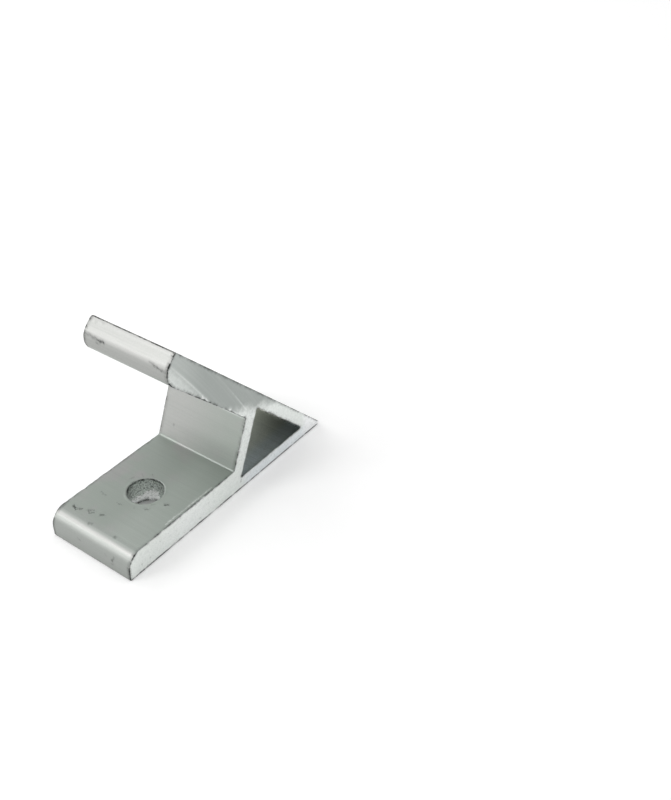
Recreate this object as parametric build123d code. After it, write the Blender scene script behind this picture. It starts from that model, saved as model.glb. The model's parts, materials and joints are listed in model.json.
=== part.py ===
"""An acute corner bracket for T-slot framing.

The bracket is one sawn length of an extruded aluminium section shaped like a leaning
letter A: two straight legs meet at a sharp corner, a web ties them together part of the
way along, and the corner behind the web is hollow. One plain bolt hole is drilled square
through each leg. It is a single piece of metal, so it is a single solid.

The lower leg lies flat on z = 0. The origin is where the axis of the lower bolt hole
meets that face. +X runs along the leg towards the sharp corner, +Y runs along the
extrusion, and +Z points up into the gap between the legs.
"""

import math
import os

from build123d import *

# Driving dimensions, in millimetres and degrees.
CORNER_ANGLE = 45.0  # between the outer faces of the legs
LEG_LENGTH = 51.5  # from the corner, taken as sharp, to the end of a leg
LEG_THICKNESS = 5.0  # of each leg beyond the web
WIDTH = 18.0  # the length sawn off the extrusion
WEB_DISTANCE = 25.5  # from the sharp corner to the web's face in the gap
WEB_THICKNESS = 2.6
HOLLOW_WALL = 2.5  # of the legs beside the hollow
HOLE_DIAMETER = 6.4  # close clearance for an M6 bolt
HOLE_FROM_END = 13.3  # from a leg's end to the axis of its hole

# Rounded corners of the section.
CORNER_RADIUS = 0.45  # the sharp corner between the outer faces
END_OUTER_RADIUS = 0.25  # where a leg's end meets its outer face
END_INNER_RADIUS = 3.0  # where a leg's end meets its inner face
WEB_CORNER_RADIUS = 0.4  # where the web meets the legs in the gap
HOLLOW_CORNER_RADIUS = 0.25  # where the web meets the legs in the hollow
HOLLOW_TIP_RADIUS = 0.5  # the hollow's narrow corner

# The two rounded corners of a leg's end take at most this share of its thickness.
LARGEST_SHARE_OF_END = 0.9


def section_direction(degrees):
    """The unit vector at an angle from the lower leg, in the plane of the section."""
    return Vector(math.cos(math.radians(degrees)), math.sin(math.radians(degrees)))


# The section is drawn with its sharp corner at the origin and the lower leg along +X.
BISECTOR = section_direction(CORNER_ANGLE / 2)
LOWER_LEG = section_direction(0)
LOWER_INWARD = section_direction(90)
UPPER_LEG = section_direction(CORNER_ANGLE)
UPPER_INWARD = section_direction(CORNER_ANGLE - 90)

# The bracket's own frame: the section's +X becomes -X, and the extrusion runs along +Y.
CORNER_TO_HOLE = LEG_LENGTH - HOLE_FROM_END
OWN_FRAME = Plane(origin=(CORNER_TO_HOLE, -WIDTH / 2, 0), x_dir=(-1, 0, 0), z_dir=(0, 1, 0))


def on_leg(leg, inward, depth, distance):
    """The point at a depth under a leg's outer face and a distance along the bisector."""
    under_corner = inward * depth
    along_leg = (distance - under_corner.dot(BISECTOR)) / leg.dot(BISECTOR)
    return under_corner + leg * along_leg


def rounded_face(corners):
    """The face inside a closed loop of straight runs, each corner with its own radius."""
    points = [point for point, _ in corners]
    radii = [radius for _, radius in corners]
    return make_face(FilletPolyline(*points, radius=radii, close=True).edges())


def letter_a():
    """The section's outer shape, from the sharp corner out along one leg and back."""
    lower_end = LOWER_LEG * LEG_LENGTH
    upper_end = UPPER_LEG * LEG_LENGTH
    end_room = LARGEST_SHARE_OF_END * LEG_THICKNESS - END_OUTER_RADIUS
    end_radius = min(END_INNER_RADIUS, end_room)
    lower_web = on_leg(LOWER_LEG, LOWER_INWARD, LEG_THICKNESS, WEB_DISTANCE)
    upper_web = on_leg(UPPER_LEG, UPPER_INWARD, LEG_THICKNESS, WEB_DISTANCE)
    return rounded_face(
        [
            (Vector(0, 0), CORNER_RADIUS),
            (lower_end, END_OUTER_RADIUS),
            (lower_end + LOWER_INWARD * LEG_THICKNESS, end_radius),
            (lower_web, WEB_CORNER_RADIUS),
            (upper_web, WEB_CORNER_RADIUS),
            (upper_end + UPPER_INWARD * LEG_THICKNESS, end_radius),
            (upper_end, END_OUTER_RADIUS),
        ]
    )


def hollow():
    """The three-cornered space between the sharp corner and the back of the web."""
    web_back = WEB_DISTANCE - WEB_THICKNESS
    tip_distance = HOLLOW_WALL / math.sin(math.radians(CORNER_ANGLE / 2))
    return rounded_face(
        [
            (BISECTOR * tip_distance, HOLLOW_TIP_RADIUS),
            (on_leg(LOWER_LEG, LOWER_INWARD, HOLLOW_WALL, web_back), HOLLOW_CORNER_RADIUS),
            (on_leg(UPPER_LEG, UPPER_INWARD, HOLLOW_WALL, web_back), HOLLOW_CORNER_RADIUS),
        ]
    )


def drilled(leg, inward):
    """The metal that the drill takes, square through a leg at the middle of its width."""
    start = leg * CORNER_TO_HOLE + Vector(0, 0, WIDTH / 2)
    on_outer_face = Plane(origin=start, x_dir=leg, z_dir=inward)
    past_both_faces = 3 * LEG_THICKNESS
    return on_outer_face * Cylinder(HOLE_DIAMETER / 2, past_both_faces)


def corner_bracket():
    """The sawn length with a hole through each leg, in the bracket's own frame."""
    bar = extrude(letter_a() - hollow(), amount=WIDTH)
    bar -= drilled(LOWER_LEG, LOWER_INWARD)
    bar -= drilled(UPPER_LEG, UPPER_INWARD)
    return OWN_FRAME * bar


if __name__ == "__main__":
    os.makedirs("parts", exist_ok=True)
    export_step(corner_bracket(), "parts/corner_bracket.step")
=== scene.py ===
# %% [markdown]
# # A corner bracket for T-slot framing
# The real bracket is one slice sawn off a long bar of extruded aluminium. The bar's section is a
# leaning letter A: two legs that meet in a sharp corner, and a web that ties them together. The
# slice is then drilled twice for bolts and tumbled or tossed in a box, so it carries four finishes:
# a satin skin where the metal slid through the die, brighter faces where the saw went through, torn
# walls where the drill went through, and thin broken edges between them. This lesson models each
# one as real geometry first, and then gives each one its own metal.
#
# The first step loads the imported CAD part. It is the fixed frame that everything else is built to.

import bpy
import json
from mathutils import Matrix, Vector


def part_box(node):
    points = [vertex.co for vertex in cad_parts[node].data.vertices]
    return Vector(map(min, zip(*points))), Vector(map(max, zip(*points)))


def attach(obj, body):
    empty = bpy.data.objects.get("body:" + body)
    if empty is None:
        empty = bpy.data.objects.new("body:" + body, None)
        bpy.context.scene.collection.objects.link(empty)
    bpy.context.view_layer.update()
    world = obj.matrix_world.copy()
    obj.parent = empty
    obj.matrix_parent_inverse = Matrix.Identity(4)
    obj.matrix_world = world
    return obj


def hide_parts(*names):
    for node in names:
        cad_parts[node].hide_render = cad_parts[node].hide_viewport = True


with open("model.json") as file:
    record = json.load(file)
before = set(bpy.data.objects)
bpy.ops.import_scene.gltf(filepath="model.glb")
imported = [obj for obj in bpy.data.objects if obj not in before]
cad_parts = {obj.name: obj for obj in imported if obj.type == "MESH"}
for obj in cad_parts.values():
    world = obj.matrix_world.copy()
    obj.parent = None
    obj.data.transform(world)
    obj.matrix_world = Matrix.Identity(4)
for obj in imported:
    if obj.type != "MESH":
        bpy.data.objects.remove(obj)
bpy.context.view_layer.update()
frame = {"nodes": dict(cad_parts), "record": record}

# %% Tools of the lesson
import json
import math

import bmesh
import bpy
import numpy as np
from mathutils import Matrix, Vector, noise
from mathutils.geometry import delaunay_2d_cdt

MM = 0.001  # Blender works in metres here, and the bracket's sizes are easier in millimetres

# %% [markdown]
# ## Take the sizes off the CAD part
# A maker copies a part with calipers, and here the CAD part itself is what is measured. The record
# says where the bolt holes are, how wide they are and which way they point. A hole runs square
# through its leg, so its axis also gives the leg's direction, and its length gives the thickness.
# The section is drawn in two directions only: x along the lower leg and z up. The extrusion runs
# along y.

# %% Measure the legs
NODE = "corner_bracket"
cad_bracket = frame["nodes"][NODE]
box_low, box_high = (np.array(corner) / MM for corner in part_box(NODE))
mounts = {mount["name"]: mount for mount in frame["record"]["mounts"]}

HALF_WIDTH = float(box_high[1])
LEG_THICKNESS = mounts["lower_bolt_hole"]["dims"]["length_mm"]
HOLE_RADIUS = mounts["lower_bolt_hole"]["dims"]["r_mm"]


def in_section(place):
    """The x and z of a place or direction."""
    return np.array([place[0], place[2]], float)


def unit(vector):
    """The same direction, one long."""
    return vector / np.linalg.norm(vector)


lower_inward = unit(in_section(mounts["lower_bolt_hole"]["axis"]))
upper_inward = unit(in_section(mounts["upper_bolt_hole"]["axis"]))
lower_hole = in_section(mounts["lower_bolt_hole"]["pos_m"]) / MM
upper_hole = in_section(mounts["upper_bolt_hole"]["pos_m"]) / MM
lower_leg = np.array([-lower_inward[1], lower_inward[0]])
upper_leg = np.array([upper_inward[1], -upper_inward[0]])

to_corner = np.linalg.solve(np.column_stack([lower_leg, -upper_leg]), upper_hole - lower_hole)
sharp_corner = lower_hole + lower_leg * to_corner[0]
leg_length = float(sharp_corner[0] - box_low[0])
bisector = unit(lower_leg + upper_leg)
print("leg length", round(leg_length, 2), "thickness", LEG_THICKNESS, "corner at", sharp_corner.round(2))

# %% [markdown]
# ## Feel for the web with a ray
# The web and the hollow behind it have no mount, so a ray does the caliper's work. It is shot from
# the open gap towards the sharp corner. It meets the web's face, then the web's back, and a second
# ray from inside the hollow drops on to the hollow's floor.


# %% Measure the web
def shoot(start, direction):
    """Where a ray in the section's plane meets the CAD part, halfway across its width."""
    origin = Vector((start[0], 0, start[1])) * MM
    _, place, _, _ = cad_bracket.ray_cast(origin, Vector((direction[0], 0, direction[1])))
    return in_section(place) / MM


SKIN_DEEP = 0.05  # a step far enough past a surface to be surely behind it

web_face = shoot(sharp_corner + bisector * leg_length, -bisector)
web_back = shoot(web_face - bisector * SKIN_DEEP, -bisector)
hollow_floor = shoot(web_back - bisector * SKIN_DEEP, -lower_inward)
WEB_DISTANCE = float(np.linalg.norm(web_face - sharp_corner))
HOLLOW_DISTANCE = float(np.linalg.norm(web_back - sharp_corner))
HOLLOW_WALL = float((hollow_floor - sharp_corner) @ lower_inward)
print("web from", round(HOLLOW_DISTANCE, 2), "to", round(WEB_DISTANCE, 2), "off the corner")
print("hollow wall", round(HOLLOW_WALL, 2))

# %% [markdown]
# ## Draw the section
# The die that shapes the bar has no perfectly sharp corners, so each corner of the letter A gets its
# own small radius, and the ends of the legs get a large one on the inside, where fingers and bolts
# go. The outline is kept as a list of stretches, a round one and then a flat one, because a flat
# stretch and a round stretch are meshed differently. Walking round with the metal on the right hand
# makes "outward" always the left-hand side, for the hollow as well.

# %% Stretches of an outline
ROUND_STEP = 0.2  # the length of one step on a round stretch
LEAST_ROUND_STEPS = 5
FLAT_STEP = 0.26


def left_of(heading):
    """The direction to the left of a heading, which is away from the metal."""
    return np.array([-heading[1], heading[0]])


def turned(heading, angle):
    """A heading turned anticlockwise."""
    cosine, sine = math.cos(angle), math.sin(angle)
    return np.array([cosine * heading[0] - sine * heading[1], sine * heading[0] + cosine * heading[1]])


def round_stretch(name, corner, radius, coming, going):
    """The round between two headings: its points and the outward direction at each."""
    turn = math.atan2(coming[0] * going[1] - coming[1] * going[0], float(coming @ going))
    bulge = -math.copysign(1, turn)
    start = corner - coming * radius * math.tan(abs(turn) / 2)
    centre = start - left_of(coming) * radius * bulge
    steps = max(LEAST_ROUND_STEPS, math.ceil(radius * abs(turn) / ROUND_STEP))
    outward = np.array([left_of(turned(coming, turn * k / steps)) for k in range(steps + 1)])
    return {"name": name, "points": centre + outward * radius * bulge, "outward": outward}


def flat_stretch(name, start, end):
    """The even steps between two rounds."""
    steps = math.ceil(np.linalg.norm(end - start) / FLAT_STEP)
    share = np.linspace(0, 1, steps + 1)[:, None]
    points = start + share * (end - start)
    outward = np.tile(left_of(unit(end - start)), (steps + 1, 1))
    return {"name": name, "points": points, "outward": outward}


def outline(corners):
    """All stretches of a closed outline. A corner gives its place, its radius and its flat's name."""
    places = [place for place, _, _ in corners]
    headings = [unit(places[(k + 1) % len(places)] - place) for k, place in enumerate(places)]
    rounds = [
        round_stretch(f"{name}_corner", place, radius, headings[k - 1], headings[k])
        for k, (place, radius, name) in enumerate(corners)
    ]
    stretches = []
    for k, (_, _, name) in enumerate(corners):
        following = rounds[(k + 1) % len(rounds)]
        stretches += [rounds[k], flat_stretch(name, rounds[k]["points"][-1], following["points"][0])]
    return stretches


# %% The letter A and its hollow
SHARP_CORNER_RADIUS = 0.45  # where the outer faces of the legs meet
END_OUTER_RADIUS = 0.25  # where a leg's end meets its outer face
END_INNER_RADIUS = 3.0  # where a leg's end meets its inner face
WEB_CORNER_RADIUS = 0.4  # where the web meets the legs in the gap
HOLLOW_RADIUS = 0.25  # all three corners of the hollow


def on_leg(leg, inward, depth, distance):
    """The point at a depth under a leg's outer face and a distance along the bisector."""
    under_corner = sharp_corner + inward * depth
    along_leg = (distance - (under_corner - sharp_corner) @ bisector) / (leg @ bisector)
    return under_corner + leg * along_leg


lower_end = sharp_corner + lower_leg * leg_length
upper_end = sharp_corner + upper_leg * leg_length
narrow_corner = sharp_corner + bisector * HOLLOW_WALL / abs(bisector @ lower_inward)

lower_web = on_leg(lower_leg, lower_inward, LEG_THICKNESS, WEB_DISTANCE)
upper_web = on_leg(upper_leg, upper_inward, LEG_THICKNESS, WEB_DISTANCE)
lower_hollow = on_leg(lower_leg, lower_inward, HOLLOW_WALL, HOLLOW_DISTANCE)
upper_hollow = on_leg(upper_leg, upper_inward, HOLLOW_WALL, HOLLOW_DISTANCE)

letter_a = outline([
    (sharp_corner, SHARP_CORNER_RADIUS, "lower_outside"),
    (lower_end, END_OUTER_RADIUS, "lower_end"),
    (lower_end + lower_inward * LEG_THICKNESS, END_INNER_RADIUS, "lower_inside"),
    (lower_web, WEB_CORNER_RADIUS, "web_front"),
    (upper_web, WEB_CORNER_RADIUS, "upper_inside"),
    (upper_end + upper_inward * LEG_THICKNESS, END_INNER_RADIUS, "upper_end"),
    (upper_end, END_OUTER_RADIUS, "upper_outside"),
])
hollow = outline([
    (narrow_corner, HOLLOW_RADIUS, "hollow_roof"),
    (upper_hollow, HOLLOW_RADIUS, "web_back"),
    (lower_hollow, HOLLOW_RADIUS, "hollow_floor"),
])
print("stretches", [stretch["name"] for stretch in letter_a + hollow])

# %% [markdown]
# ## The sawn edge
# Where the saw leaves the metal, the edge isn't a clean line. It is rounded over by a tenth of a
# millimetre here, chipped a little deeper there, and in places the saw pushes a thin lip of metal,
# the burr, up over the skin. A bevel modifier would make every edge alike, so the rounding is worked
# out for each point of the outline instead, with smooth noise along it. The noise is read at the
# point's own place, so that two surfaces that share the point agree about it.


# %% Smooth noise at a place
def wobble(place, size, seed=0.0):
    """Smooth noise from -1 to 1 at a place. Its lumps are about as large as size, in millimetres."""
    shift = Vector((seed, 2 * seed, 3 * seed))  # each seed reads another part of the same noise
    return noise.noise(Vector((place[0], place[1], place[2])) / size + shift)


# %% Rounding along the edge
EDGE_ROUND = 0.07
EDGE_ROUND_LEAST = 0.035
EDGE_WANDER = 0.09
CHIPS = [  # place of a chip's middle, how far along it reaches, and how deep it goes
    ((8.5, -9.0, 29.6), 0.45, 0.18),
    ((15.2, -9.0, 23.0), 0.40, 0.16),
    ((30.0, -9.0, 8.1), 0.35, 0.16),
    ((7.0, -9.0, 24.6), 0.50, 0.22),
    ((13.6, -9.0, 18.1), 0.45, 0.22),
    ((-5.6, 9.0, 5.0), 0.60, 0.24),
    ((-9.6, 9.0, 5.0), 0.40, 0.18),
    ((-3.3, -9.0, 0.0), 0.70, 0.20),
    ((7.5, -9.0, 0.0), 0.45, 0.16),
    ((37.4, -9.0, 0.3), 0.50, 0.14),
]
TIGHT_CORNERS = (lower_end, upper_end)  # their small radius leaves little room for an edge to wander
TIGHT_REACH = 0.8
TIGHT_ROUND = 0.11


def corner_room(point):
    """0 beside a tight corner of the section, and 1 well away from it."""
    nearest = min(float(np.linalg.norm(point - corner)) for corner in TIGHT_CORNERS)
    return min(max((nearest - TIGHT_REACH / 2) / TIGHT_REACH, 0), 1)


def edge_round(point, side):
    """How far the edge is rounded over at a point of the outline, on the near or far side."""
    place = (point[0], side * HALF_WIDTH, point[1])
    wander = wobble(place, 1.1, 3) + 0.6 * wobble(place, 0.35, 5)
    depth = max(EDGE_ROUND + EDGE_WANDER * wander, EDGE_ROUND_LEAST)
    for middle, reach, chip in CHIPS:
        away = math.dist(place, middle) / reach
        depth = max(depth, chip * math.exp(-away * away))
    return min(depth, TIGHT_ROUND + corner_room(point))


border_points = [point for stretch in letter_a for point in stretch["points"]]
roundings = [edge_round(point, -1) for point in border_points]
print("near edge rounded by", round(min(roundings), 3), "to", round(max(roundings), 3), "mm")

# %% Burr along the edge
BURR = 0.07
SEATING_CLEAR = (0.3, 1.0)  # the lip fades out between these depths under a face that must seat flat


def burr_height(point, side):
    """How high the saw's lip stands over the skin at a point of the outline."""
    under_face = min((point - sharp_corner) @ lower_inward, (point - sharp_corner) @ upper_inward)
    share = (under_face - SEATING_CLEAR[0]) / (SEATING_CLEAR[1] - SEATING_CLEAR[0])
    place = (point[0], side * HALF_WIDTH, point[1])
    height = wobble(place, 1.9, 11) + 0.5 * wobble(place, 0.5, 13)
    return BURR * max(height, 0) * min(max(share, 0), 1)


print("tallest burr", round(max(burr_height(point, -1) for point in border_points), 3), "mm")

# %% [markdown]
# ## Rows across the width
# Every point of the outline is carried across the width in the same set of rows. The first row is a
# shoulder on the sawn face, the next few follow the rounded edge on to the skin, one shapes the burr,
# and the rest are evenly spaced. All surfaces meet at these rows, so the mesh closes without gaps.

# %% One rail: all rows at one point of the outline
EDGE_ANGLES = np.radians([90, 60, 30, 0])  # from the sawn face round to the skin
SHOULDER = 0.13
TIGHT_SHOULDER = 0.08
BURR_WIDTH = 0.12
BURR_FOOT = 0.35  # the share of the burr's height that is left where it runs out
EDGE_ZONE = 0.75  # inside this distance from the sawn face, rows bend with the edge
ROW_STEP = 0.22
row_count = round(2 * HALF_WIDTH / ROW_STEP)
even_rows = np.linspace(EDGE_ZONE - HALF_WIDTH, HALF_WIDTH - EDGE_ZONE, row_count)
EDGE_FROM = 1  # the first row of the rounded edge
SKIN_FROM = len(EDGE_ANGLES)  # the first row that lies on the skin


def edge_rows(point, outward, side):
    """The rows from the sawn face to the edge zone's end, on one side."""
    rounding = edge_round(point, side)
    burr = burr_height(point, side)
    shoulder = TIGHT_SHOULDER + (SHOULDER - TIGHT_SHOULDER) * corner_room(point)
    rows = [(point - outward * (rounding + shoulder), HALF_WIDTH)]
    for angle in EDGE_ANGLES:
        sunk = rounding * (1 - math.cos(angle)) - burr * math.cos(angle)
        inboard = rounding * (1 - math.sin(angle))
        rows.append((point - outward * sunk, HALF_WIDTH - inboard))
    rows.append((point + outward * burr * BURR_FOOT, HALF_WIDTH - rounding - BURR_WIDTH))
    return [(place[0], side * across, place[1]) for place, across in rows]


def rail(point, outward):
    """One point of the outline in all rows, from the near sawn face to the far one."""
    near = edge_rows(point, outward, -1)
    middle = [(point[0], row, point[1]) for row in even_rows]
    far = edge_rows(point, outward, 1)
    return np.array(near + middle + far[::-1])


ROWS = len(rail(sharp_corner, left_of(lower_leg)))
print("rows across the width", ROWS)

# %% [markdown]
# ## Collect the patches
# The bracket is sewn together from patches: bent strips, flat faces with a hole, sawn faces and hole
# walls. Each one hands in its points, its faces and the finish that it wants. The bag below keeps
# them, and one weld at the end joins the points that coincide.

# %% A bag of patches
FINISHES = ["satin_skin", "sawn_face", "drilled_wall", "broken_edge"]


class Patches:
    """Points and faces of all patches, in millimetres, before they are welded."""

    def __init__(self):
        self.points, self.stains, self.faces, self.finishes, self.count = [], [], [], [], 0

    def add(self, points, faces, finish, stains=None):
        """Takes one patch. The faces count from its own first point, and a stain darkens a point."""
        points = np.asarray(points, float).reshape(-1, 3)
        self.points.append(points)
        self.stains.append(np.zeros(len(points)) if stains is None else np.ravel(stains))
        self.faces += [tuple(int(corner) + self.count for corner in face) for face in faces]
        self.finishes += [FINISHES.index(finish)] * len(faces)
        self.count += len(points)


def grid_faces(columns, rows, first=0, last=None):
    """The four-sided faces of a grid that is stored column by column, between two rows."""
    last = rows - 1 if last is None else last
    return [
        (c * rows + r, (c + 1) * rows + r, (c + 1) * rows + r + 1, c * rows + r + 1)
        for c in range(columns - 1)
        for r in range(first, last)
    ]


patches = Patches()

# %% [markdown]
# ## Dark edges
# Handling leaves black oxide wherever an edge is broken or a corner is tight, and painted shade is
# added to it: a painted contact shadow along the edges that lie on the table, and the hollow's shade
# along the hollow's roof. Together they make the bracket's outline read so clearly. It isn't even: a
# smooth noise along the edge breaks it into dashes. Each edge of the section gets its own strength,
# since some are cleaner than others and some carry more painted shade.

# %% How dark an edge is
# lower_outside, the edge along the table, carries a painted contact shadow, and hollow_roof the hollow's
# shade.
SAWN_EDGE_STAIN_AND_SHADE = {  # at the sawn faces, by the name of the stretch; the others get the usual one
    "lower_outside": 1.6,
    "lower_end": 1.0,
    "lower_inside_corner": 1.05,
    "lower_inside": 0.6,
    "web_front": 0.75,
    "upper_inside": 0.9,
    "upper_inside_corner": 0.65,
    "upper_end_corner": 1.25,
    "upper_end": 0.55,
    "upper_outside": 0.7,
    "hollow_roof": 0.6,
    "hollow_floor": 0.5,
    "web_back": 0.4,
}
USUAL_STAIN = 0.7
EDGE_FADE = [0.45, 1, 1, 1, 1, 0.45]  # how the stain fades over the first rows
# lower_end_corner and lower_outside_corner run along the table and carry a painted contact shadow,
# hollow_roof_corner the hollow's shade.
CORNER_STAIN_AND_SHADE = {  # along the tight corners of the section
    "upper_outside_corner": 0.75,
    "lower_end_corner": 0.95,
    "lower_outside_corner": 0.5,
    "hollow_roof_corner": 0.5,
}


def dashes(place, strength):
    """A stain, partly painted shade, between 0 and about 1 that comes and goes along an edge."""
    dash = 0.85 + 0.9 * wobble(place, 1.6, 51) + 0.8 * wobble(place, 0.4, 53)
    return strength * min(max(dash, 0.12), 1.25)


def edge_stains_and_shade(stretch):
    """The stain and painted shade of every point of a strip: its sawn edges, and its length if it is a
    tight corner.
    """
    name, rails = stretch["name"], stretch["rails"]
    stains = np.zeros(rails.shape[:2])
    strength = SAWN_EDGE_STAIN_AND_SHADE.get(name, USUAL_STAIN)
    for row, share in enumerate(EDGE_FADE):
        for line in (row, ROWS - 1 - row):
            stains[:, line] = [share * dashes(place, strength) for place in rails[:, line]]
    if name in CORNER_STAIN_AND_SHADE:
        for column in range(1, len(rails) - 1):
            for row in range(SKIN_FROM, ROWS - SKIN_FROM):
                stain = dashes(rails[column, row], CORNER_STAIN_AND_SHADE[name])
                stains[column, row] = max(stains[column, row], stain)
    return stains


# %% [markdown]
# ## Bend the strips
# A round of the section, and a flat with no hole in it, is simply a grid of rails. The shoulder rows
# belong to the sawn face, the rows of the rounded edge to the broken edge, and the rest to the skin.

# %% Strips without a hole
DRILLED = ("lower_outside", "lower_inside", "upper_outside", "upper_inside")


def add_strip(stretch):
    """Adds one stretch's grid: its edges, and its skin unless a hole goes through it."""
    columns = len(stretch["points"])
    rails = [rail(point, outward) for point, outward in zip(stretch["points"], stretch["outward"])]
    stretch["rails"] = np.array(rails)
    stretch["stains"] = edge_stains_and_shade(stretch)
    bands = [
        (0, EDGE_FROM, "sawn_face"),
        (EDGE_FROM, SKIN_FROM, "broken_edge"),
        (ROWS - 1 - SKIN_FROM, ROWS - 1 - EDGE_FROM, "broken_edge"),
        (ROWS - 1 - EDGE_FROM, ROWS - 1, "sawn_face"),
    ]
    if stretch["name"] not in DRILLED:
        bands.append((SKIN_FROM, ROWS - 1 - SKIN_FROM, "satin_skin"))
    for first, last, finish in bands:
        patches.add(rails, grid_faces(columns, ROWS, first, last), finish, stretch["stains"])


for stretch in letter_a + hollow:
    add_strip(stretch)
print("strips added, faces so far", len(patches.faces))

# %% [markdown]
# ## Drill the holes
# A drill tears the wall as it goes and leaves a small torn rim at both mouths. The wall is a grid
# round the hole's axis, a little rough, and its rim is rounded over with a wandering width, as the
# sawn edge is. Where the drill came in, at the outer face, a thin lip of metal is folded into the
# hole. Where it came out, at the inner face, it pushed up a low ring round the mouth. That ring comes
# later, with the other wear.

# %% Rim and lip of a hole
AROUND = 132  # steps round a hole
DOWN = 26  # steps down its wall
RIM_ROUND = 0.05
RIM_WANDER = 0.03
LIP = 0.17  # how far the folded lip hangs into the hole
LIP_DEEP = 0.30  # how deep it reaches under the outer face
RIM_ANGLES = np.radians([0, 30, 60, 90])  # from the face over into the wall
# Dark oxide round both mouths, and with it painted shade under the rim's burr.
RIM_STAIN_AND_SHADE = 0.85
RIM_FADE = [0.45, 1, 1, 1, 0.8, 0.2]  # how the stain fades from the face down the wall


def hole_place(middle, inward, leg, angle, radius, depth):
    """A place near a hole: round its axis, away from it, and down from the outer face."""
    flat = middle + leg * math.cos(angle) * radius + inward * depth
    return (flat[0], math.sin(angle) * radius, flat[1])


def rim_width(middle, inward, leg, angle, depth):
    """How far the rim is rounded over at an angle round the hole."""
    place = hole_place(middle, inward, leg, angle, HOLE_RADIUS, depth)
    return RIM_ROUND + RIM_WANDER * wobble(place, 0.8, 17)


def folded_lip(place, depth):
    """How far the folded lip hangs into the hole at a depth."""
    return LIP * (1 + 0.3 * wobble(place, 0.7, 19)) * math.exp(-((depth / LIP_DEEP) ** 2))


# %% The wall of one hole
def hole_column(middle, inward, leg, angle):
    """All points of the wall at one angle, from the outer face to the inner one."""
    outer = rim_width(middle, inward, leg, angle, 0)
    inner = rim_width(middle, inward, leg, angle, LEG_THICKNESS)
    profile = [(outer * (1 - math.sin(a)), outer * (1 - math.cos(a))) for a in RIM_ANGLES]
    depths = np.linspace(outer, LEG_THICKNESS - inner, DOWN)[1:-1]
    profile += [(0, depth) for depth in depths]
    for a in RIM_ANGLES[::-1]:
        profile.append((inner * (1 - math.sin(a)), LEG_THICKNESS - inner * (1 - math.cos(a))))
    mouth = hole_place(middle, inward, leg, angle, HOLE_RADIUS, 0)
    radii = [(HOLE_RADIUS + out - folded_lip(mouth, depth), depth) for out, depth in profile]
    return [hole_place(middle, inward, leg, angle, radius, depth) for radius, depth in radii]


def add_hole_wall(middle, inward, leg):
    """Adds one hole's rims and wall, and returns the rings on its outer and inner face."""
    angles = [2 * math.pi * k / AROUND for k in range(AROUND + 1)]
    columns = [hole_column(middle, inward, leg, angle) for angle in angles]
    rows, rim = len(columns[0]), len(RIM_ANGLES) - 1
    leans_back = leg[0] * inward[1] - leg[1] * inward[0] > 0
    if leans_back:
        columns = columns[::-1]
    rings = np.array(columns)
    stains = np.zeros(rings.shape[:2])
    for row, share in enumerate(RIM_FADE):
        for line in (row, rows - 1 - row):
            stains[:, line] = [share * dashes(place, RIM_STAIN_AND_SHADE) for place in rings[:, line]]
    patches.add(columns, grid_faces(AROUND + 1, rows, 0, rim), "broken_edge", stains)
    patches.add(columns, grid_faces(AROUND + 1, rows, rim, rows - 1 - rim), "drilled_wall", stains)
    patches.add(columns, grid_faces(AROUND + 1, rows, rows - 1 - rim), "broken_edge", stains)
    return rings[:-1, 0], rings[:-1, -1]


lower_outer_ring, lower_inner_ring = add_hole_wall(lower_hole, lower_inward, lower_leg)
upper_outer_ring, upper_inner_ring = add_hole_wall(upper_hole, upper_inward, upper_leg)
print("hole walls added, faces so far", len(patches.faces))
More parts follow.
